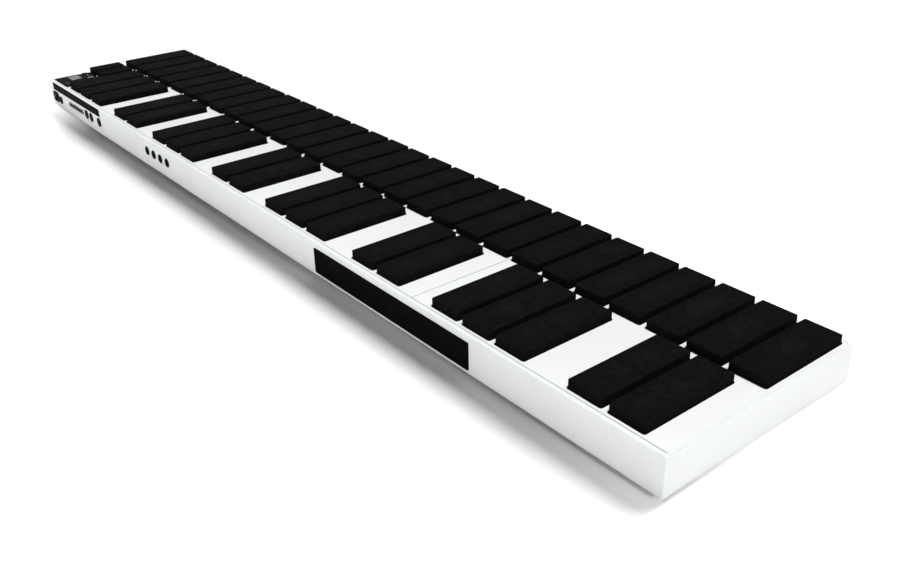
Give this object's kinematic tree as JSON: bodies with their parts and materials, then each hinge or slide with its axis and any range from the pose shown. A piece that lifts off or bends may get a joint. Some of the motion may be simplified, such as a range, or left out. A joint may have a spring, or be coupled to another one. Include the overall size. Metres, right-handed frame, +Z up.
{
  "type": "electronic mallet percussion controller",
  "caption": "Long flat white case with two rows of black rubber bars laid out like a marimba keyboard, sockets on its front face and a small control corner.",
  "frame": {"origin": "centre of the footprint, on the surface that the feet stand on", "axes": "+X along the keyboard towards the bass end, +Y from the socket face towards the player, +Z up"},
  "size_m": [1.2946, 0.248, 0.0547],
  "materials": {
    "white_case": "white satin powder coat on aluminium",
    "bar_rubber": "matt, fine leather grain",
    "sensor_film": "smooth black film",
    "circuit_board": "green solder mask",
    "bright_steel": "zinc plated",
    "bare_aluminium": "mill finish",
    "ribbon_grey": "ribbed grey sheath",
    "black_plastic": "fine spark texture",
    "display_glass": "clear, slightly green",
    "display_grey": "reflective grey-green",
    "lamp_red": "clear red lens",
    "rocker_black": "semi-gloss",
    "slot_grey": "fine texture",
    "socket_black": "moulded, satin",
    "black_nut": "black zinc",
    "black_plate": "satin black laminate",
    "foot_rubber": "matt",
    "button_grey": "satin",
    "knob_black": "satin",
    "button_black": "satin"
  },
  "bodies": {
    "case": {"front_panel": "white_case", "back_panel": "white_case", "bass_end_panel": "white_case", "treble_end_panel": "white_case", "bottom_plate": "white_case", "main_deck": "white_case", "extension_deck": "white_case", "deck_splice_plate": "bare_aluminium", "corner_posts": "bare_aluminium", "cross_ribs": "bare_aluminium", "natural_bars_octave_1": "bar_rubber", "natural_bars_octave_2": "bar_rubber", "natural_bars_octave_3": "bar_rubber", "natural_bars_octave_4": "bar_rubber", "top_natural_bar": "bar_rubber", "accidental_bars_octave_1": "bar_rubber", "accidental_bars_octave_2": "bar_rubber", "accidental_bars_octave_3": "bar_rubber", "accidental_bars_octave_4": "bar_rubber", "function_pads": "bar_rubber", "natural_sensor_films": "sensor_film", "accidental_sensor_films": "sensor_film", "function_pad_films": "sensor_film", "scan_board_octave_1": "circuit_board", "scan_board_octave_2": "circuit_board", "scan_board_octave_3": "circuit_board", "scan_board_octave_4": "circuit_board", "main_board": "circuit_board", "jack_board": "circuit_board", "control_board": "circuit_board", "board_spacers": "bright_steel", "scan_ribbon": "ribbon_grey", "jack_ribbon": "ribbon_grey", "control_ribbon": "ribbon_grey", "control_plate": "black_plate", "display_window": "display_glass", "display_module": "display_grey", "status_lamp": "lamp_red", "volume_control": "bright_steel", "power_switch_housing": "black_plastic", "power_inlet": "black_plastic", "card_slot_frame": "slot_grey", "card_connector": "black_plastic", "din_sockets": "socket_black", "jack_sockets": "socket_black", "jack_nuts": "black_nut", "legend_strip": "black_plate", "name_plate": "black_plate", "rubber_feet": "foot_rubber", "foot_screws": "bright_steel", "bottom_screws": "bright_steel", "deck_screws": "bright_steel", "end_panel_screws": "bright_steel"},
    "power_rocker": {"power_rocker": "rocker_black"},
    "volume_wheel": {"volume_wheel": "knob_black", "wheel_axle": "bright_steel"},
    "minus_button": {"minus_button": "button_black"},
    "plus_button": {"plus_button": "button_black"},
    "select_button": {"select_button": "button_grey"},
    "store_button": {"store_button": "button_black"}
  },
  "joints": [
    {"name": "minus_button_press", "type": "slide", "parent": "case", "child": "minus_button", "axis": [0, 0, -1], "range_m": [0, 0.0015], "stiffness_N_per_m": 600, "springref_m": -0.001},
    {"name": "plus_button_press", "type": "slide", "parent": "case", "child": "plus_button", "axis": [0, 0, -1], "range_m": [0, 0.0015], "stiffness_N_per_m": 600, "springref_m": -0.001},
    {"name": "select_button_press", "type": "slide", "parent": "case", "child": "select_button", "axis": [0, 0, -1], "range_m": [0, 0.0015], "stiffness_N_per_m": 600, "springref_m": -0.001},
    {"name": "store_button_press", "type": "slide", "parent": "case", "child": "store_button", "axis": [0, 0, -1], "range_m": [0, 0.0015], "stiffness_N_per_m": 600, "springref_m": -0.001},
    {"name": "volume_wheel_turn", "type": "hinge", "parent": "case", "child": "volume_wheel", "pos_m": [-0.597, -0.10851, 0.038], "axis": [0, 1, 0], "range_deg": [-135, 135]},
    {"name": "power_rocker_tip", "type": "hinge", "parent": "case", "child": "power_rocker", "pos_m": [-0.625, -0.11941, 0.0228], "axis": [0, 0, 1], "range_deg": [0, 20]}
  ]
}
